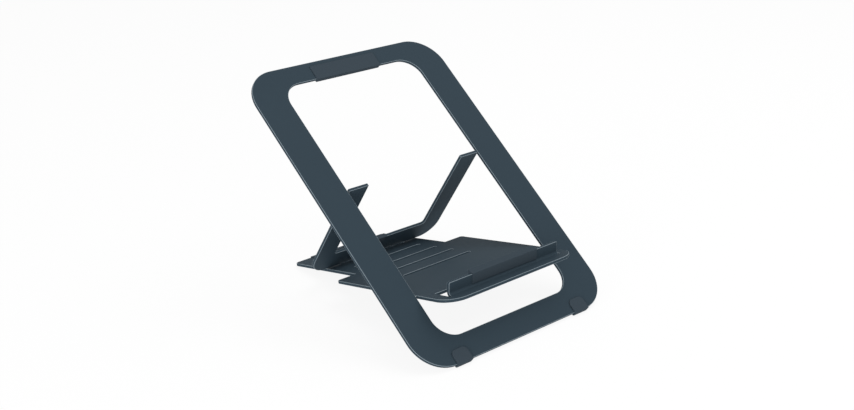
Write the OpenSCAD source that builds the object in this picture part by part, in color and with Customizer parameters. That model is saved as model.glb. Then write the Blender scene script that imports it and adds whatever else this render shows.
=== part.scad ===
// Adjustable laptop stand: three nested sheets that fold flat.
// A rectangular support ring leans back on two clip feet. A T-shaped base plate is hinged inside
// the ring; its front is the ledge for the laptop and its rear rests on the desk. A U-shaped
// strut is hinged higher up in the ring, and its cross bar stands on the plate over a slot.
// Units are mm, Z is up, Y runs from front to back and X is the width. The desk is Z = 0.

/* [Support ring] */
// Outer width of the ring
ring_w = 235; // [215:1:260]
// Outer length of the ring along its slope
ring_l = 333.6; // [322:0.2:346]
// Width of the two side rails
side_rail = 35; // [26:0.5:42]
// Width of the top rail
top_rail = 20.2; // [14:0.2:26]
// Width of the bottom rail
bottom_rail = 24.4; // [18:0.2:30]
// Radius of the ring's outer corners
outer_r = 34; // [24:1:44]
// Thickness of all three sheets
sheet_t = 3; // [2.5:0.1:4]

/* [Hinges] */
// Distance of the plate hinge from the ring's lower edge
plate_hinge = 71.4; // [66:0.2:78]
// Distance of the strut hinge from the ring's lower edge
strut_hinge = 189.4; // [184:0.2:196]
// Hinge pin diameter
pin_d = 1.6; // [1.4:0.1:1.8]
// Length of each hinge pin
pin_l = 16; // [12:1:20]
// Radial play of a pin in the moving sheet
pin_play = 0.05; // [0.03:0.01:0.08]

/* [Opening angle] */
// Angle between the ring and the base plate
plate_angle = 50.3; // [46:0.1:54]

/* [Base plate] */
// Gap between the ring and the sheets that nest in it
side_gap = 1.1; // [0.8:0.1:1.5]
// Gap between sheet ends that meet when folded
nest_gap = 0.7; // [0.5:0.1:1.2]
// How far the narrow rear part steps in on each side
step_in = 22.6; // [20:0.2:26]
// Number of slots for the strut's bar
slot_n = 5; // [3:1:5]
// Distance from one slot to the next
slot_pitch = 25; // [20:0.5:25]
// Plate left beside the end of each slot
slot_side = 16.3; // [12:0.1:24]
// Width of each slot
slot_w = 4; // [3:0.2:5]

/* [Ledge lip] */
// Plate left beside each end of the lip
lip_side = 12.4; // [10:0.2:20]
// Height of the lip above the plate
lip_h = 11.8; // [9:0.2:16]
// Width of the plate strip in front of the lip
lip_strip = 12.6; // [8:0.2:15]
// Inside radius of the lip's bend
bend_r = 2.4; // [1.5:0.1:3]
// How far the lip leans forward from square to the plate
lip_lean = 11; // [0:0.5:14]
// Depth of the window behind the lip
window_d = 14.8; // [12:0.2:18]
// Length of the soft sleeve on the lip
sleeve_l = 82; // [60:1:90]
// Wall of the soft sleeve at the front and the top
sleeve_t = 0.8; // [0.6:0.1:1.2]
// Wall of the soft sleeve at the rear, where the laptop leans
cushion_t = 2.2; // [1.5:0.1:3.2]
// How far the sleeve's rear wall stands above its front wall
cushion_rise = 2; // [0.5:0.1:3]

/* [Strut] */
// Width of the strut's two arms
arm_w = 22.8; // [19:0.2:24]
// Width of the strut's cross bar
bar_w = 23.2; // [19:0.2:26]
// Radius of the strut's outer corners
bar_r = 20; // [14:1:22]
// Length of the arms beyond their hinge
tip_l = 2.5; // [2.2:0.1:3]

/* [Pads and feet] */
// Length of the soft pad on the top rail
pad_l = 79; // [64:1:96]
// Thickness of the pad's face
pad_t = 1; // [0.8:0.1:1.4]
// Width of each clip foot
clip_w = 18; // [14:0.5:24]
// Height of a clip foot on the bottom rail
clip_h = 12.8; // [10:0.2:16]
// Wall of a clip foot
clip_t = 1.5; // [1.2:0.1:2]
// Distance of each clip foot from the ring's side
clip_in = 42; // [38:1:56]
// Length of the soft strip under the plate's rear edge
strip_l = 76; // [60:1:90]
// How far the strip reaches under the plate
strip_w = 8; // [5:0.5:12]
// Length of the bumper on the strut's bar
bumper_l = 15; // [10:1:24]

/* [Hidden] */
$fn = 64;
eps = 0.01;
t = sheet_t;
far = ring_l;                                    // past the end of anything that is cut
open_gap = 0.3;                                  // gap kept between parts that only touch
hinge_d = strut_hinge - plate_hinge;             // between the two hinges
soft_t = 0.8;                                    // thin soft walls over an edge
edge_t = 1;                                      // soft material past a sheet's end
wall_w = 6;                                      // how far a thin soft wall reaches back
pad_rim = 4.8;                                   // bare metal between the pad and the ring's edge
corner_r = 3;                                    // small round corners of the sheets
lip_r = 1.5;                                     // of the lip's two upper corners
rear_r = 5;                                      // of the plate's rear and the clip feet
soft_r = 1;                                      // of the soft parts and the strut's tips

// Folded, the strut's bar ends just below the pad on the top rail. Opened, the bar's lower
// front edge stands on the plate, which gives the angle between the plate and the strut.
strut_l = ring_l - top_rail - edge_t - open_gap - strut_hinge;
bar_rise = hinge_d * sin(plate_angle) - t / 2 - open_gap;
strut_angle = asin(bar_rise / norm([strut_l, t / 2])) - atan(t / 2 / strut_l);
bar_at = hinge_d * cos(plate_angle) + strut_l * cos(strut_angle);

plate_rear = hinge_d + strut_l - bar_w - 2 * edge_t - nest_gap;
plate_step = hinge_d - tip_l - nest_gap;
plate_front = bottom_rail + side_gap - plate_hinge;
open_half = ring_w / 2 - side_rail;              // half of the ring's opening
wide_half = open_half - side_gap;
thin_half = wide_half - step_in;
lip_half = wide_half - lip_side;
slot_half = thin_half - slot_side;
arm_half = wide_half;
inner_half = arm_half - arm_w;
opening_r = bar_r + side_gap;

// The ring leans so that its feet and the plate's rear strip reach the desk together.
foot_a = plate_hinge + clip_t;
foot_b = t / 2 + clip_t;
rear_a = plate_rear + edge_t;
rear_b = t / 2 + clip_t;
lean = atan((rear_a * sin(plate_angle) + rear_b * cos(plate_angle) - foot_b)
  / (foot_a + rear_a * cos(plate_angle) - rear_b * sin(plate_angle)));
slope = plate_angle - lean;                      // of the plate, down to the back
foot_flat = 0.5;                                 // soft feet are worn flat by this much
hinge_z = foot_a * sin(lean) + foot_b * cos(lean) - foot_flat;

// Front and back ends on the desk, from the ring's lower edge; they centre the stand in Y.
front_y = -clip_t * cos(lean) - foot_b * sin(lean);
back_y = max(ring_l * cos(lean) + t / 2 * sin(lean),
  plate_hinge * cos(lean) + rear_a * cos(slope) + (t / 2 + soft_t) * sin(slope));
hinge_y = plate_hinge * cos(lean) - (front_y + back_y) / 2;

coat = [0.23, 0.28, 0.32];
dark_coat = [0.2, 0.25, 0.29];
silicone = [0.16, 0.19, 0.21];
steel = [0.6, 0.61, 0.62];

// Places: each sheet is drawn flat in X and Y, with its middle plane at Z = 0 and its own
// hinge line along X through the origin.
module at_ring() {
  translate([0, hinge_y, hinge_z]) rotate([lean, 0, 0]) translate([0, -plate_hinge, 0])
    children();
}
module at_plate() {
  translate([0, hinge_y, hinge_z]) rotate([-slope, 0, 0]) children();
}
module at_strut() {
  at_ring() translate([0, strut_hinge, 0])
    rotate([-(plate_angle + strut_angle), 0, 0]) children();
}
module above_desk() {
  difference() {
    children();
    translate([-far, -far, -far]) cube([2 * far, 2 * far, far]);
  }
}

// A flat outline with true round corners, from x0, y0 to x1, y1.
module rounded(x0, y0, x1, y1, r) {
  translate([x0 + r, y0]) square([x1 - x0 - 2 * r, y1 - y0]);
  translate([x0, y0 + r]) square([x1 - x0, y1 - y0 - 2 * r]);
  for (x = [x0 + r, x1 - r], y = [y0 + r, y1 - r]) translate([x, y]) circle(r);
}
module slab(h) {
  translate([0, 0, -h / 2]) linear_extrude(h) children();
}
// A round bore along X from one side face inward.
module side_bore(x, y, d, depth) {
  for (s = [-1, 1]) translate([s * (x - depth / 2), y, 0]) rotate([0, 90, 0])
    cylinder(d = d, h = depth, center = true);
}

module ring() {
  bore = (pin_l - side_gap) / 2;
  color(coat) at_ring() difference() {
    slab(t) difference() {
      rounded(-ring_w / 2, 0, ring_w / 2, ring_l, outer_r);
      rounded(-open_half, bottom_rail, open_half, ring_l - top_rail, opening_r);
    }
    for (y = [plate_hinge, strut_hinge])
      side_bore(open_half + bore, y, pin_d, bore + eps);
  }
}

// The front corners follow the ring's lower inner corners; the rear part is narrower.
module plate_outline() {
  rounded(-wide_half, plate_front, wide_half, plate_step - corner_r, bar_r);
  rounded(-wide_half, plate_front + bar_r + corner_r, wide_half, plate_step, corner_r);
  rounded(-thin_half, plate_step - 2 * rear_r, thin_half, plate_rear, rear_r);
}

lip_y = plate_front + lip_strip;                 // the bend starts here
lip_rise = (lip_h - bend_r * (1 + sin(lip_lean))) / cos(lip_lean);

module base_plate() {
  bore = (pin_l - side_gap) / 2 + 0.4;
  color(coat) at_plate() {
    difference() {
      slab(t) difference() {
        plate_outline();
        rounded(-lip_half - t / 2, lip_y, lip_half + t / 2,
          lip_y + bend_r + t + window_d, soft_r);
        for (i = [0 : slot_n - 1]) translate([0, bar_at - i * slot_pitch]) slot();
      }
      side_bore(wide_half, 0, pin_d + 2 * pin_play, bore);
    }
    lip();
  }
}

module slot() {
  middle = slot_half - slot_w / 2;
  square([2 * middle, slot_w], center = true);
  for (s = [-1, 1]) translate([s * middle, 0]) circle(d = slot_w);
}
// The lip's own frame, above the bend: its front face is at Y = 0 and Z runs up along it.
module at_lip() {
  translate([0, lip_y, t / 2 + bend_r]) rotate([lip_lean, 0, 0])
    translate([0, bend_r, 0]) children();
}
// The tab that is bent up out of the window, seen from the side with its bend.
module lip_profile() {
  k = 3 * (bend_r + t);
  translate([-1, -t]) square([1.01, t]);
  translate([0, bend_r]) {
    intersection() {
      difference() { circle(bend_r + t); circle(bend_r); }
      polygon([[0, 0], [0, -k], [k, -k], [k, k * tan(lip_lean)]]);
    }
    rotate(lip_lean) translate([bend_r, -eps]) square([t, lip_rise + eps]);
  }
}
module lip() {
  intersection() {
    translate([-lip_half, lip_y, t / 2]) rotate([90, 0, 90]) linear_extrude(2 * lip_half)
      lip_profile();
    at_lip() translate([0, far / 2, 0]) rotate([90, 0, 0]) linear_extrude(far)
      rounded(-lip_half, -far, lip_half, lip_rise, lip_r);
  }
}

module prop_strut() {
  bore = (pin_l - side_gap) / 2 + 0.4;
  color(dark_coat) at_strut() difference() {
    slab(t) difference() {
      union() {
        rounded(-arm_half, -tip_l, arm_half, strut_l - bar_r, soft_r);
        rounded(-arm_half, 0, arm_half, strut_l, bar_r);
      }
      rounded(-inner_half, -far, inner_half, strut_l - bar_w, corner_r);
    }
    side_bore(arm_half, 0, pin_d + 2 * pin_play, bore);
  }
}

// A soft channel over a sheet's edge. It runs along X and wraps the edge at Y = 0, past which
// it is edge_t thick; its upper and lower walls reach back over the sheet, towards +Y.
module channel(l, up, up_t, down, down_t, end_t) {
  difference() {
    union() {
      translate([0, 0, -t / 2 - down_t]) linear_extrude(t / 2 + down_t)
        rounded(-l / 2, -end_t, l / 2, down, soft_r);
      linear_extrude(t / 2 + up_t) rounded(-l / 2, -end_t, l / 2, up, soft_r);
    }
    translate([-l, 0, -t / 2]) cube([2 * l, far, t]);
  }
}

// Over the inner edge of the top rail, with its face up over the rail.
module top_pad() {
  color(silicone) at_ring() translate([0, ring_l - top_rail, 0])
    channel(pad_l, top_rail - pad_rim, pad_t, wall_w, soft_t, edge_t);
}
// Over the ring's lower edge, with round upper corners and a worn flat on the desk.
module clip_foot(side) {
  color(silicone) above_desk() at_ring()
    translate([side * (ring_w / 2 - clip_in), 0, 0]) difference() {
      slab(t + 2 * clip_t) {
        rounded(-clip_w / 2, -clip_t, clip_w / 2, clip_h / 2, soft_r);
        rounded(-clip_w / 2, 0, clip_w / 2, clip_h, rear_r);
      }
      translate([-clip_w, 0, -t / 2]) cube([2 * clip_w, 2 * clip_h, t]);
    }
}
// Over the middle of the lip, with a thicker rear wall and a top that slopes up to it.
module lip_sleeve() {
  front = -sleeve_t;
  rear = t + cushion_t;
  top = lip_rise + sleeve_t;
  color(silicone) at_plate() at_lip() translate([-sleeve_l / 2, 0, 0]) difference() {
    rotate([90, 0, 90]) linear_extrude(sleeve_l)
      polygon([[front, 0], [rear, 0], [rear, top + cushion_rise], [front, top]]);
    translate([-t, 0, -t]) cube([sleeve_l + 2 * t, t, lip_rise + t]);
  }
}
module rear_strip() {
  color(silicone) above_desk() at_plate() translate([0, plate_rear, 0])
    rotate([0, 0, 180]) channel(strip_l, wall_w, soft_t, strip_w, clip_t, edge_t);
}
module bar_bumper() {
  color(silicone) at_strut() translate([0, strut_l - bar_w, 0])
    channel(bumper_l, wall_w, soft_t, wall_w, soft_t, edge_t);
}
// A pin pressed into the ring's side rail, on which a nested sheet turns.
module hinge_pin(side, y) {
  color(steel) at_ring() translate([side * (open_half - side_gap / 2), y, 0])
    rotate([0, 90, 0]) cylinder(d = pin_d, h = pin_l, center = true);
}

ring();
base_plate();
prop_strut();
top_pad();
clip_foot(-1);  // clip_foot_left
clip_foot(1);  // clip_foot_right
lip_sleeve();
rear_strip();
bar_bumper();
hinge_pin(-1, plate_hinge);  // plate_pin_left
hinge_pin(1, plate_hinge);  // plate_pin_right
hinge_pin(-1, strut_hinge);  // strut_pin_left
hinge_pin(1, strut_hinge);  // strut_pin_right
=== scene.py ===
"""Dresses the adjustable laptop stand: softened sheet edges, soft parts, finishes and a studio."""

import math

import bmesh
import bpy
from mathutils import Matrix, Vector


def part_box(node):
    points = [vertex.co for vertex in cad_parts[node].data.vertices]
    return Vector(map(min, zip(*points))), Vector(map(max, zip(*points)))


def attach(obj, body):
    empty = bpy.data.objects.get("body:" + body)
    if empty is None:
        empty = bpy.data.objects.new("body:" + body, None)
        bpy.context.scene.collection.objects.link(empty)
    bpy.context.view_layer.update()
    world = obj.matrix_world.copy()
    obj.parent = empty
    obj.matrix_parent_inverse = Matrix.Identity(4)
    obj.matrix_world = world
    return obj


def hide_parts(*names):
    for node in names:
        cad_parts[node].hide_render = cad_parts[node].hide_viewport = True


bl_info = {
    "name": "Laptop stand looks",
    "version": (1, 0, 0),
    "blender": (4, 5, 0),
    "location": "3D View > Sidebar > Stand",
    "description": "Dresses the folding laptop stand and sets up its studio",
    "category": "Object",
}

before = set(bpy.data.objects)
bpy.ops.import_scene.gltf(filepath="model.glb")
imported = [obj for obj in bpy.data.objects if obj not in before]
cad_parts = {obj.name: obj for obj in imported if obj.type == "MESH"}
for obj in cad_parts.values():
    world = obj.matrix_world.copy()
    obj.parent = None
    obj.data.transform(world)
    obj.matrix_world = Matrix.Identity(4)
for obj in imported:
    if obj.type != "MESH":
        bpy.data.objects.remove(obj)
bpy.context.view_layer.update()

MM = 0.001
MERGE = 0.002 * MM  # vertices of the CAD mesh that are closer than this are one
FLAT = math.radians(0.5)  # neighbouring faces that turn less than this are one face
SHARP = math.radians(35.0)  # edges that turn more than this are rounded
BORE_REACH = 1.2  # a bore's rim lies within this many pin radii of the hinge line
CLOUD = 60 * MM  # width of the broad, faint clouds in each finish
RELIEF = 0.35  # share of the grain's height that the light takes up
FLOOR_HALF = 6.0  # half the floor's side, in metres
FLOOR_WHITE = 0.9  # share of white that the camera sees in the floor; the rest shows the shadow
SENSOR = 36.0  # width of the camera's sensor, in millimetres

# Each lamp's place and the side of its square, in metres
LAMPS = {
    "side_lamp": ((-2.2, -0.8, 0.3), 1.0),
    "top_lamp": ((0.7, -0.3, 1.9), 1.6),
    "front_lamp": ((-1.1, -1.8, 0.9), 1.2),
}

# CAD nodes, and the body that each rides on; the clip feet and the pins ride on the frame
SHEETS = {"ring": "frame", "base_plate": "plate", "prop_strut": "strut"}
SOFT_PARTS = {
    "top_pad": "frame",
    "lip_sleeve": "plate",
    "rear_strip": "plate",
    "bar_bumper": "strut",
}
CLIP_FEET = ("clip_foot_left", "clip_foot_right")
PINS = ("plate_pin_left", "plate_pin_right", "strut_pin_left", "strut_pin_right")


def linear(hex_colour):
    """Scene-linear red, green, blue and alpha of an sRGB hex colour such as #323F48."""
    parts = [int(hex_colour[i : i + 2], 16) / 255 for i in (1, 3, 5)]
    return [p / 12.92 if p <= 0.04045 else ((p + 0.055) / 1.055) ** 2.4 for p in parts] + [1.0]


def node_centre(name):
    """Middle of a CAD node's box."""
    low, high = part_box(name)
    return (Vector(low) + Vector(high)) / 2


# Settings

class SheetSettings(bpy.types.PropertyGroup):
    edge_radius: bpy.props.FloatProperty(
        name="Edge radius",
        description="Round that the powder coat leaves on the sheets' cut edges",
        default=0.4 * MM,
        min=0.0,
        subtype="DISTANCE",
        unit="LENGTH",
    )
    edge_steps: bpy.props.IntProperty(
        name="Edge steps",
        description="Faces across the round of a sheet's edge",
        default=2,
        min=1,
        max=4,
    )


class SoftSettings(bpy.types.PropertyGroup):
    edge_radius: bpy.props.FloatProperty(
        name="Edge radius",
        description="Round on the edges of the moulded silicone parts",
        default=0.35 * MM,
        min=0.0,
        subtype="DISTANCE",
        unit="LENGTH",
    )
    edge_steps: bpy.props.IntProperty(
        name="Edge steps",
        description="Faces across the round of a soft part's edge",
        default=2,
        min=1,
        max=4,
    )


class PinSettings(bpy.types.PropertyGroup):
    facets: bpy.props.IntProperty(
        name="Facets",
        description="Faces round each hinge pin",
        default=32,
        min=12,
        max=64,
    )


class FinishSettings(bpy.types.PropertyGroup):
    coat: bpy.props.FloatVectorProperty(
        name="Powder coat",
        description="Colour of the powder coat on the three sheets",
        default=linear("#323F48"),
        size=4,
        min=0.0,
        max=1.0,
        subtype="COLOR",
    )
    # Painted highlight: a lighter colour drawn on the rounds of the sheets' cut edges, for the pale
    # line that the light draws along them
    thin_coat: bpy.props.FloatVectorProperty(
        name="Edge highlight",
        description="Colour of the coat where it is drawn thin over the cut edges",
        default=linear("#737F87"),
        size=4,
        min=0.0,
        max=1.0,
        subtype="COLOR",
    )
    silicone: bpy.props.FloatVectorProperty(
        name="Silicone",
        description="Colour of the pad, sleeve, strip, bumper and feet",
        default=linear("#3A444C"),
        size=4,
        min=0.0,
        max=1.0,
        subtype="COLOR",
    )
    steel: bpy.props.FloatVectorProperty(
        name="Steel",
        description="Colour of the hinge pins",
        default=linear("#BDBFC1"),
        size=4,
        min=0.0,
        max=1.0,
        subtype="COLOR",
    )


class StudioSettings(bpy.types.PropertyGroup):
    azimuth: bpy.props.FloatProperty(
        name="Azimuth",
        description="Where the camera stands round the stand; 0 is in front of it",
        default=math.radians(-42.25),
        subtype="ANGLE",
        unit="ROTATION",
    )
    elevation: bpy.props.FloatProperty(
        name="Elevation",
        description="Angle of the camera above the horizon",
        default=math.radians(21.37),
        subtype="ANGLE",
        unit="ROTATION",
    )
    distance: bpy.props.FloatProperty(
        name="Distance",
        description="From the camera to the point that it looks at",
        default=1244.5 * MM,
        subtype="DISTANCE",
        unit="LENGTH",
    )
    lens: bpy.props.FloatProperty(
        name="Lens",
        description="Focal length in millimetres on a 36 mm sensor",
        default=54.94,
        min=10.0,
        max=300.0,
    )
    aim: bpy.props.FloatVectorProperty(
        name="Aim",
        description="Point that the camera looks at",
        default=(5.24 * MM, 4.66 * MM, 88.08 * MM),
        size=3,
        subtype="TRANSLATION",
        unit="LENGTH",
    )
    sky: bpy.props.FloatProperty(
        name="Sky",
        description="Strength of the even light from all round",
        default=0.5,
        min=0.0,
    )
    side_lamp: bpy.props.FloatProperty(
        name="Side lamp",
        description="Power of the soft lamp low on the left, in watts",
        default=30.0,
        min=0.0,
    )
    top_lamp: bpy.props.FloatProperty(
        name="Top lamp",
        description="Power of the soft lamp above, in watts",
        default=20.0,
        min=0.0,
    )
    front_lamp: bpy.props.FloatProperty(
        name="Front lamp",
        description="Power of the soft lamp in front on the left, in watts",
        default=8.0,
        min=0.0,
    )
    glow: bpy.props.FloatProperty(
        name="Glow",
        description="Share of the floor's light that is its own, as on a lit table",
        default=0.6,
        min=0.0,
        max=0.9,
    )
    floor: bpy.props.FloatVectorProperty(
        name="Floor",
        description="Colour of the floor",
        default=linear("#FFFFFF"),
        size=4,
        min=0.0,
        max=1.0,
        subtype="COLOR",
    )


# Materials

def add(tree, kind, inputs=None, **settings):
    """Adds a node with its settings. An input is a value, or an output socket to link."""
    node = tree.nodes.new(kind)
    for name, value in settings.items():
        setattr(node, name, value)
    for key, value in (inputs or {}).items():
        if isinstance(value, bpy.types.NodeSocket):
            tree.links.new(value, node.inputs[key])
        else:
            node.inputs[key].default_value = value
    return node


def shade(colour, factor):
    """The same colour, darker or lighter."""
    return [min(1.0, c * factor) for c in colour[:3]] + [1.0]


def grainy(name, colour, grain, spread, depth, **surface):
    """A Principled material with a fine grain. Grain is its width and depth its height, in metres, and
    spread is the share by which the colour varies with the grain and with broad, faint clouds."""
    material = bpy.data.materials.new(name)
    material.use_nodes = True
    material.diffuse_color = colour
    tree = material.node_tree
    tree.nodes.clear()
    place = add(tree, "ShaderNodeTexCoord")
    fine = add(
        tree,
        "ShaderNodeTexNoise",
        {"Vector": place.outputs["Object"], "Scale": 1 / grain, "Detail": 3.0, "Roughness": 0.6},
    )
    broad = add(
        tree,
        "ShaderNodeTexNoise",
        {"Vector": place.outputs["Object"], "Scale": 1 / CLOUD, "Detail": 2.0},
    )
    both = add(
        tree,
        "ShaderNodeMath",
        {0: fine.outputs["Fac"], 1: broad.outputs["Fac"]},
        operation="ADD",
    )
    mean = add(
        tree,
        "ShaderNodeMath",
        {0: both.outputs["Value"], 1: 0.5},
        operation="MULTIPLY",
    )
    # A colour mix has its factor at input 0 and its two colours at inputs 6 and 7
    tint = add(
        tree,
        "ShaderNodeMix",
        {0: mean.outputs["Value"], 6: shade(colour, 1 - spread), 7: shade(colour, 1 + spread)},
        data_type="RGBA",
    )
    relief = add(
        tree,
        "ShaderNodeBump",
        {"Height": fine.outputs["Fac"], "Strength": RELIEF, "Distance": depth},
    )
    body = add(
        tree,
        "ShaderNodeBsdfPrincipled",
        {"Base Color": tint.outputs[2], "Normal": relief.outputs["Normal"]} | surface,
    )
    add(tree, "ShaderNodeOutputMaterial", {"Surface": body.outputs["BSDF"]})
    return material


def powder_coated_aluminium(colour):
    """Matt powder coat on aluminium sheet: an even dark slate, almost without sheen, with a faint
    orange peel. The real peel is about 0.5 mm wide, too fine to show, so it is drawn 1.2 mm wide."""
    return grainy(
        "powder_coated_aluminium",
        colour,
        grain=1.2 * MM,
        spread=0.05,
        depth=0.008 * MM,
        **{"Roughness": 0.58, "IOR": 1.5, "Specular IOR Level": 0.035},
    )


def thin_coated_edge(colour):
    """The same coat drawn lighter and a little glossier on the rounds of the cut edges: a painted
    highlight, for the pale fine line that the light draws along each edge. It shows best drawn as wide
    as the whole edge round."""
    return grainy(
        "thin_coated_edge",
        colour,
        grain=1.2 * MM,
        spread=0.05,
        depth=0.01 * MM,
        **{"Roughness": 0.45, "IOR": 1.5, "Specular IOR Level": 0.2},
    )


def moulded_silicone(colour):
    """Silicone moulded in a blasted tool: greyer than the coat and dull, with a fine even grain.
    The real grain is about 0.1 mm, too fine to show, so it is drawn 0.8 mm wide."""
    return grainy(
        "moulded_silicone",
        colour,
        grain=0.8 * MM,
        spread=0.08,
        depth=0.012 * MM,
        **{"Roughness": 0.7, "IOR": 1.41, "Specular IOR Level": 0.03},
    )


def ground_steel(colour):
    """Centreless-ground steel pin: bright, with fine marks 0.3 mm apart."""
    return grainy(
        "ground_steel",
        colour,
        grain=0.3 * MM,
        spread=0.06,
        depth=0.005 * MM,
        **{"Roughness": 0.3, "Metallic": 1.0},
    )


def material(kind):
    """The material of that kind, made once from the finish settings."""
    makers = {
        "coat": ("powder_coated_aluminium", powder_coated_aluminium),
        "thin_coat": ("thin_coated_edge", thin_coated_edge),
        "silicone": ("moulded_silicone", moulded_silicone),
        "steel": ("ground_steel", ground_steel),
    }
    name, make = makers[kind]
    found = bpy.data.materials.get(name)
    if found:
        return found
    return make(list(getattr(bpy.context.scene.stand_finish, kind)))


# Meshes

def on_hinge(point):
    """True on the rim of a hinge bore, which stays as it was drilled."""
    for pin in PINS:
        low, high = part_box(pin)
        centre = node_centre(pin)
        radius = (high[2] - low[2]) / 2
        if math.hypot(point.y - centre.y, point.z - centre.z) < BORE_REACH * radius:
            return True
    return False


def merged_copy(node, name):
    """A copy of a CAD node's mesh with its doubles merged and its flat faces joined up."""
    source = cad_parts[node]
    shell = bmesh.new()
    shell.from_mesh(source.data)
    bmesh.ops.remove_doubles(shell, verts=shell.verts, dist=MERGE)
    bmesh.ops.dissolve_limit(shell, angle_limit=FLAT, verts=shell.verts, edges=shell.edges)
    mesh = bpy.data.meshes.new(name)
    shell.to_mesh(mesh)
    shell.free()
    piece = bpy.data.objects.new(name, mesh)
    bpy.context.scene.collection.objects.link(piece)
    return piece


def soften(piece, radius, steps, finish=0):
    """Rounds the piece's sharp edges with a bevel, apart from the rims of the hinge bores. Finish is
    the number, from 0, of the material that the rounds take."""
    mesh = piece.data
    shell = bmesh.new()
    shell.from_mesh(mesh)
    weight = shell.edges.layers.float.new("bevel_weight_edge")
    for edge in shell.edges:
        sharp = len(edge.link_faces) == 2 and edge.calc_face_angle() > SHARP
        bore = all(on_hinge(v.co) for v in edge.verts)
        edge[weight] = 1.0 if sharp and not bore else 0.0
        edge.smooth = not (sharp and bore)
    for face in shell.faces:
        face.smooth = True
    shell.to_mesh(mesh)
    shell.free()
    bevel = piece.modifiers.new("edge_round", "BEVEL")
    bevel.width = radius
    bevel.segments = steps
    bevel.material = finish
    bevel.limit_method = "WEIGHT"
    bevel.use_clamp_overlap = False
    bevel.miter_outer = "MITER_ARC"
    level = piece.modifiers.new("flat_faces", "WEIGHTED_NORMAL")
    level.mode = "FACE_AREA"
    level.weight = 100  # the largest face alone sets the normal
    level.keep_sharp = True


def dress(piece, kinds, body, slot, *nodes):
    """Gives a finished piece its materials and body, and hides the CAD nodes that it stands for. The
    slot is not used.
    """
    piece.data.materials.clear()
    for kind in kinds:
        piece.data.materials.append(material(kind))
    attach(piece, body)
    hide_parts(*nodes)


# Geometry Nodes

def new_tree(name, sizes):
    """A geometry node tree with a geometry input and output and named inputs for its sizes."""
    tree = bpy.data.node_groups.new(name, "GeometryNodeTree")
    tree.interface.new_socket("Geometry", in_out="INPUT", socket_type="NodeSocketGeometry")
    for label, kind in sizes:
        tree.interface.new_socket(label, in_out="INPUT", socket_type=kind)
    tree.interface.new_socket("Geometry", in_out="OUTPUT", socket_type="NodeSocketGeometry")
    return tree, add(tree, "NodeGroupInput").outputs


def two_points(tree, start, end):
    """A line of two points. In this mode of the node, its Offset is the end point."""
    line = add(
        tree,
        "GeometryNodeMeshLine",
        {"Count": 2, "Start Location": start, "Offset": end},
        mode="END_POINTS",
    )
    return line.outputs["Mesh"]


def finish_tree(tree, geometry, finish):
    """Ends a tree in real geometry with its material."""
    real = add(tree, "GeometryNodeRealizeInstances", {"Geometry": geometry})
    painted = add(
        tree,
        "GeometryNodeSetMaterial",
        {"Geometry": real.outputs["Geometry"], "Material": finish},
    )
    add(tree, "NodeGroupOutput", {"Geometry": painted.outputs["Geometry"]})


def clip_feet_tree():
    """Sets a foot at its own place and again at the spacing to its right."""
    tree, given = new_tree(
        "clip_feet", [("Spacing", "NodeSocketFloat"), ("Finish", "NodeSocketMaterial")]
    )
    end = add(tree, "ShaderNodeCombineXYZ", {"X": given["Spacing"]})
    points = two_points(tree, (0.0, 0.0, 0.0), end.outputs["Vector"])
    feet = add(
        tree,
        "GeometryNodeInstanceOnPoints",
        {"Points": points, "Instance": given["Geometry"]},
    )
    finish_tree(tree, feet.outputs["Instances"], given["Finish"])
    return tree


def hinge_pins_tree():
    """Sets a pin at each side of both hinge lines."""
    tree, given = new_tree(
        "hinge_pins",
        [
            ("Diameter", "NodeSocketFloat"),
            ("Length", "NodeSocketFloat"),
            ("Facets", "NodeSocketInt"),
            ("Side", "NodeSocketFloat"),
            ("Plate hinge", "NodeSocketVector"),
            ("Strut hinge", "NodeSocketVector"),
            ("Finish", "NodeSocketMaterial"),
        ],
    )
    radius = add(tree, "ShaderNodeMath", {0: given["Diameter"], 1: 0.5}, operation="MULTIPLY")
    rod = add(
        tree,
        "GeometryNodeMeshCylinder",
        {
            "Vertices": given["Facets"],
            "Radius": radius.outputs["Value"],
            "Depth": given["Length"],
        },
    )
    flat = add(
        tree,
        "GeometryNodeTransform",
        {"Geometry": rod.outputs["Mesh"], "Rotation": (0.0, math.pi / 2, 0.0)},
    )
    right = add(tree, "ShaderNodeCombineXYZ", {"X": given["Side"]})
    lines = add(tree, "GeometryNodeJoinGeometry")
    for hinge in ("Plate hinge", "Strut hinge"):
        start = add(
            tree,
            "ShaderNodeVectorMath",
            {0: given[hinge], 1: right.outputs["Vector"]},
            operation="SUBTRACT",
        )
        end = add(
            tree,
            "ShaderNodeVectorMath",
            {0: given[hinge], 1: right.outputs["Vector"]},
            operation="ADD",
        )
        points = two_points(tree, start.outputs["Vector"], end.outputs["Vector"])
        tree.links.new(points, lines.inputs["Geometry"])
    pins = add(
        tree,
        "GeometryNodeInstanceOnPoints",
        {"Points": lines.outputs["Geometry"], "Instance": flat.outputs["Geometry"]},
    )
    finish_tree(tree, pins.outputs["Instances"], given["Finish"])
    return tree


def grown(piece, tree, values):
    """Runs a tree on the piece, with values by input name, and keeps the result as its plain mesh."""
    modifier = piece.modifiers.new(tree.name, "NODES")
    modifier.node_group = tree
    for item in tree.interface.items_tree:
        if item.in_out == "INPUT" and item.name in values:
            modifier[item.identifier] = values[item.name]
    bpy.context.view_layer.update()
    depsgraph = bpy.context.evaluated_depsgraph_get()
    mesh = bpy.data.meshes.new_from_object(piece.evaluated_get(depsgraph))
    if not mesh.polygons:
        raise RuntimeError(tree.name + " made no faces")
    piece.modifiers.remove(modifier)
    mesh.name = piece.name
    piece.data = mesh
    return piece


# Operators

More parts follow.
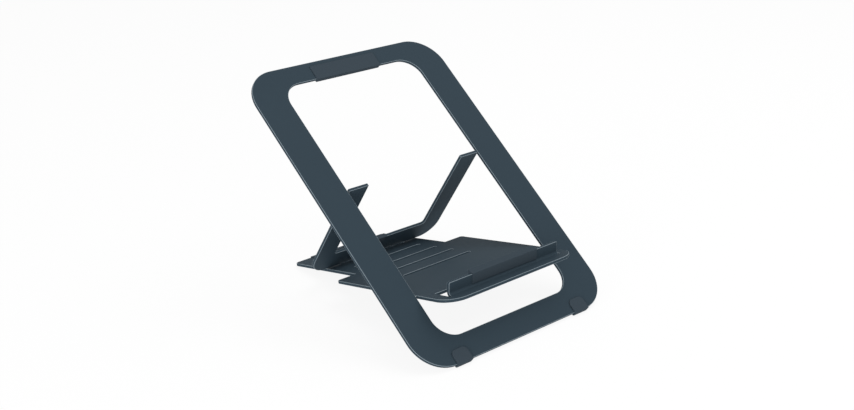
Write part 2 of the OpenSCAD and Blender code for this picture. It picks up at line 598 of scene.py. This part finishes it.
class STAND_OT_sheets(bpy.types.Operator):
    """Makes the ring, the base plate and the prop strut with rounded, powder-coated edges, their
    rounds lighter as a painted highlight
    """

    bl_idname = "stand.sheets"
    bl_label = "Coated sheets"

    def execute(self, context):
        settings = context.scene.stand_sheets
        for node, body in SHEETS.items():
            piece = merged_copy(node, node + "_coated")
            # The rounds take material 1, a lighter coat colour that is a painted highlight along the
            # edges
            soften(piece, settings.edge_radius, settings.edge_steps, finish=1)
            dress(piece, ("coat", "thin_coat"), body, "slate_coat", node)
        return {"FINISHED"}


class STAND_OT_soft_parts(bpy.types.Operator):
    """Makes the pad, the lip sleeve, the rear strip and the bumper in silicone"""

    bl_idname = "stand.soft_parts"
    bl_label = "Soft parts"

    def execute(self, context):
        settings = context.scene.stand_soft
        for node, body in SOFT_PARTS.items():
            piece = merged_copy(node, node + "_silicone")
            soften(piece, settings.edge_radius, settings.edge_steps)
            dress(piece, ("silicone",), body, "silicone", node)
        return {"FINISHED"}


class STAND_OT_clip_feet(bpy.types.Operator):
    """Makes the two clip feet on the ring's lower rail"""

    bl_idname = "stand.clip_feet"
    bl_label = "Clip feet"

    def execute(self, context):
        settings = context.scene.stand_soft
        left, right = CLIP_FEET
        piece = merged_copy(left, "clip_feet_silicone")
        spacing = node_centre(right).x - node_centre(left).x
        values = {"Spacing": spacing, "Finish": material("silicone")}
        grown(piece, clip_feet_tree(), values)
        soften(piece, settings.edge_radius, settings.edge_steps)
        dress(piece, ("silicone",), "frame", "silicone", left, right)
        return {"FINISHED"}


class STAND_OT_hinge_pins(bpy.types.Operator):
    """Makes the four steel pins that the plate and the strut turn on"""

    bl_idname = "stand.hinge_pins"
    bl_label = "Hinge pins"

    def execute(self, context):
        low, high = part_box("plate_pin_right")
        plate_hinge = node_centre("plate_pin_right")
        strut_hinge = node_centre("strut_pin_right")
        values = {
            "Diameter": high[2] - low[2],
            "Length": high[0] - low[0],
            "Facets": context.scene.stand_pins.facets,
            "Side": plate_hinge.x,
            "Plate hinge": (0.0, plate_hinge.y, plate_hinge.z),
            "Strut hinge": (0.0, strut_hinge.y, strut_hinge.z),
            "Finish": material("steel"),
        }
        mesh = bpy.data.meshes.new("hinge_pins_steel")
        piece = bpy.data.objects.new("hinge_pins_steel", mesh)
        context.scene.collection.objects.link(piece)
        grown(piece, hinge_pins_tree(), values)
        dress(piece, ("steel",), "frame", "steel_pin", *PINS)
        return {"FINISHED"}


def soft_lamp(name, place, size, power, aim):
    """Adds a square area lamp that faces the aim point and that the camera doesn't see."""
    light = bpy.data.lights.new(name, "AREA")
    light.shape = "SQUARE"
    light.size = size
    light.energy = power
    lamp = bpy.data.objects.new(name, light)
    bpy.context.scene.collection.objects.link(lamp)
    lamp.location = place
    lamp.rotation_mode = "QUATERNION"
    lamp.rotation_quaternion = (Vector(aim) - Vector(place)).to_track_quat("-Z", "Y")
    lamp.visible_camera = False


def seen_white(tree, shader, share, glow=0.0):
    """Mixes that share of white light into what the camera, and anything glossy or clear, sees of the
    floor or the sky. Glow is the share of white that everything else gets from it."""
    path = add(tree, "ShaderNodeLightPath")
    seen = add(
        tree,
        "ShaderNodeMath",
        {0: path.outputs["Is Camera Ray"], 1: path.outputs["Is Glossy Ray"]},
        operation="MAXIMUM",
    )
    seen = add(
        tree,
        "ShaderNodeMath",
        {0: seen.outputs["Value"], 1: path.outputs["Is Transmission Ray"]},
        operation="MAXIMUM",
    )
    part = add(
        tree,
        "ShaderNodeMath",
        {0: seen.outputs["Value"], 1: share - glow, 2: glow},
        operation="MULTIPLY_ADD",
    )
    white = add(tree, "ShaderNodeEmission", {"Strength": 1.0})
    return add(
        tree,
        "ShaderNodeMixShader",
        {0: part.outputs["Value"], 1: shader, 2: white.outputs["Emission"]},
    )


class STAND_OT_studio(bpy.types.Operator):
    """Makes the white floor, the soft lamps, the sky and the camera"""

    bl_idname = "stand.studio"
    bl_label = "Studio"

    def execute(self, context):
        scene = context.scene
        settings = scene.stand_studio
        self.make_floor(scene, list(settings.floor), settings.glow)
        self.make_sky(scene, settings.sky)
        aim = Vector(settings.aim)
        for name, (place, side) in LAMPS.items():
            soft_lamp(name, place, side, getattr(settings, name), aim)
        self.make_camera(scene, settings, aim)
        scene.view_settings.view_transform = "Standard"
        return {"FINISHED"}

    def make_floor(self, scene, colour, glow):
        """Lays a square of matt paper at desk height."""
        shell = bmesh.new()
        corners = [(-1, -1), (1, -1), (1, 1), (-1, 1)]
        shell.faces.new(
            [shell.verts.new((FLOOR_HALF * x, FLOOR_HALF * y, 0.0)) for x, y in corners]
        )
        mesh = bpy.data.meshes.new("floor")
        shell.to_mesh(mesh)
        shell.free()
        floor = bpy.data.objects.new("floor", mesh)
        scene.collection.objects.link(floor)
        paper = bpy.data.materials.new("matt_backdrop_paper")
        paper.use_nodes = True
        tree = paper.node_tree
        tree.nodes.clear()
        matt = add(tree, "ShaderNodeBsdfDiffuse", {"Color": colour})
        mixed = seen_white(tree, matt.outputs["BSDF"], FLOOR_WHITE, glow)
        add(tree, "ShaderNodeOutputMaterial", {"Surface": mixed.outputs["Shader"]})
        mesh.materials.append(paper)

    def make_sky(self, scene, strength):
        """Lights the stand evenly from all round, in front of pure white."""
        world = bpy.data.worlds.new("studio_sky")
        scene.world = world
        world.use_nodes = True
        tree = world.node_tree
        tree.nodes.clear()
        white = {"Color": (1.0, 1.0, 1.0, 1.0), "Strength": strength}
        even = add(tree, "ShaderNodeBackground", white)
        mixed = seen_white(tree, even.outputs["Background"], 1.0)
        add(tree, "ShaderNodeOutputWorld", {"Surface": mixed.outputs["Shader"]})

    def make_camera(self, scene, settings, aim):
        """Sets the camera that was fitted to the photo."""
        turn, lift = settings.azimuth, settings.elevation
        back = Vector(
            (
                math.sin(turn) * math.cos(lift),
                -math.cos(turn) * math.cos(lift),
                math.sin(lift),
            )
        )
        data = bpy.data.cameras.new("photo_camera")
        data.sensor_width = SENSOR
        data.lens = settings.lens
        camera = bpy.data.objects.new("photo_camera", data)
        scene.collection.objects.link(camera)
        camera.location = aim + back * settings.distance
        camera.rotation_mode = "QUATERNION"
        camera.rotation_quaternion = (-back).to_track_quat("-Z", "Y")
        scene.camera = camera


class STAND_PT_panel(bpy.types.Panel):
    """Lists the steps that dress the stand"""

    bl_idname = "STAND_PT_panel"
    bl_label = "Laptop stand"
    bl_space_type = "VIEW_3D"
    bl_region_type = "UI"
    bl_category = "Stand"

    def draw(self, context):
        scene = context.scene
        for settings in (
            scene.stand_sheets,
            scene.stand_soft,
            scene.stand_pins,
            scene.stand_finish,
            scene.stand_studio,
        ):
            box = self.layout.box()
            for name in settings.__annotations__:
                box.prop(settings, name)
        for operator in OPERATORS:
            self.layout.operator(operator.bl_idname)


SETTINGS = {
    "stand_sheets": SheetSettings,
    "stand_soft": SoftSettings,
    "stand_pins": PinSettings,
    "stand_finish": FinishSettings,
    "stand_studio": StudioSettings,
}
OPERATORS = (
    STAND_OT_sheets,
    STAND_OT_soft_parts,
    STAND_OT_clip_feet,
    STAND_OT_hinge_pins,
    STAND_OT_studio,
)


def register():
    for name, group in SETTINGS.items():
        bpy.utils.register_class(group)
        setattr(bpy.types.Scene, name, bpy.props.PointerProperty(type=group))
    for operator in OPERATORS:
        bpy.utils.register_class(operator)
    bpy.utils.register_class(STAND_PT_panel)


def unregister():
    bpy.utils.unregister_class(STAND_PT_panel)
    for operator in reversed(OPERATORS):
        bpy.utils.unregister_class(operator)
    for name, group in reversed(list(SETTINGS.items())):
        delattr(bpy.types.Scene, name)
        bpy.utils.unregister_class(group)


def main():
    register()
    bpy.ops.stand.sheets()
    bpy.ops.stand.soft_parts()
    bpy.ops.stand.clip_feet()
    bpy.ops.stand.hinge_pins()
    bpy.ops.stand.studio()


if __name__ == "__main__":
    main()
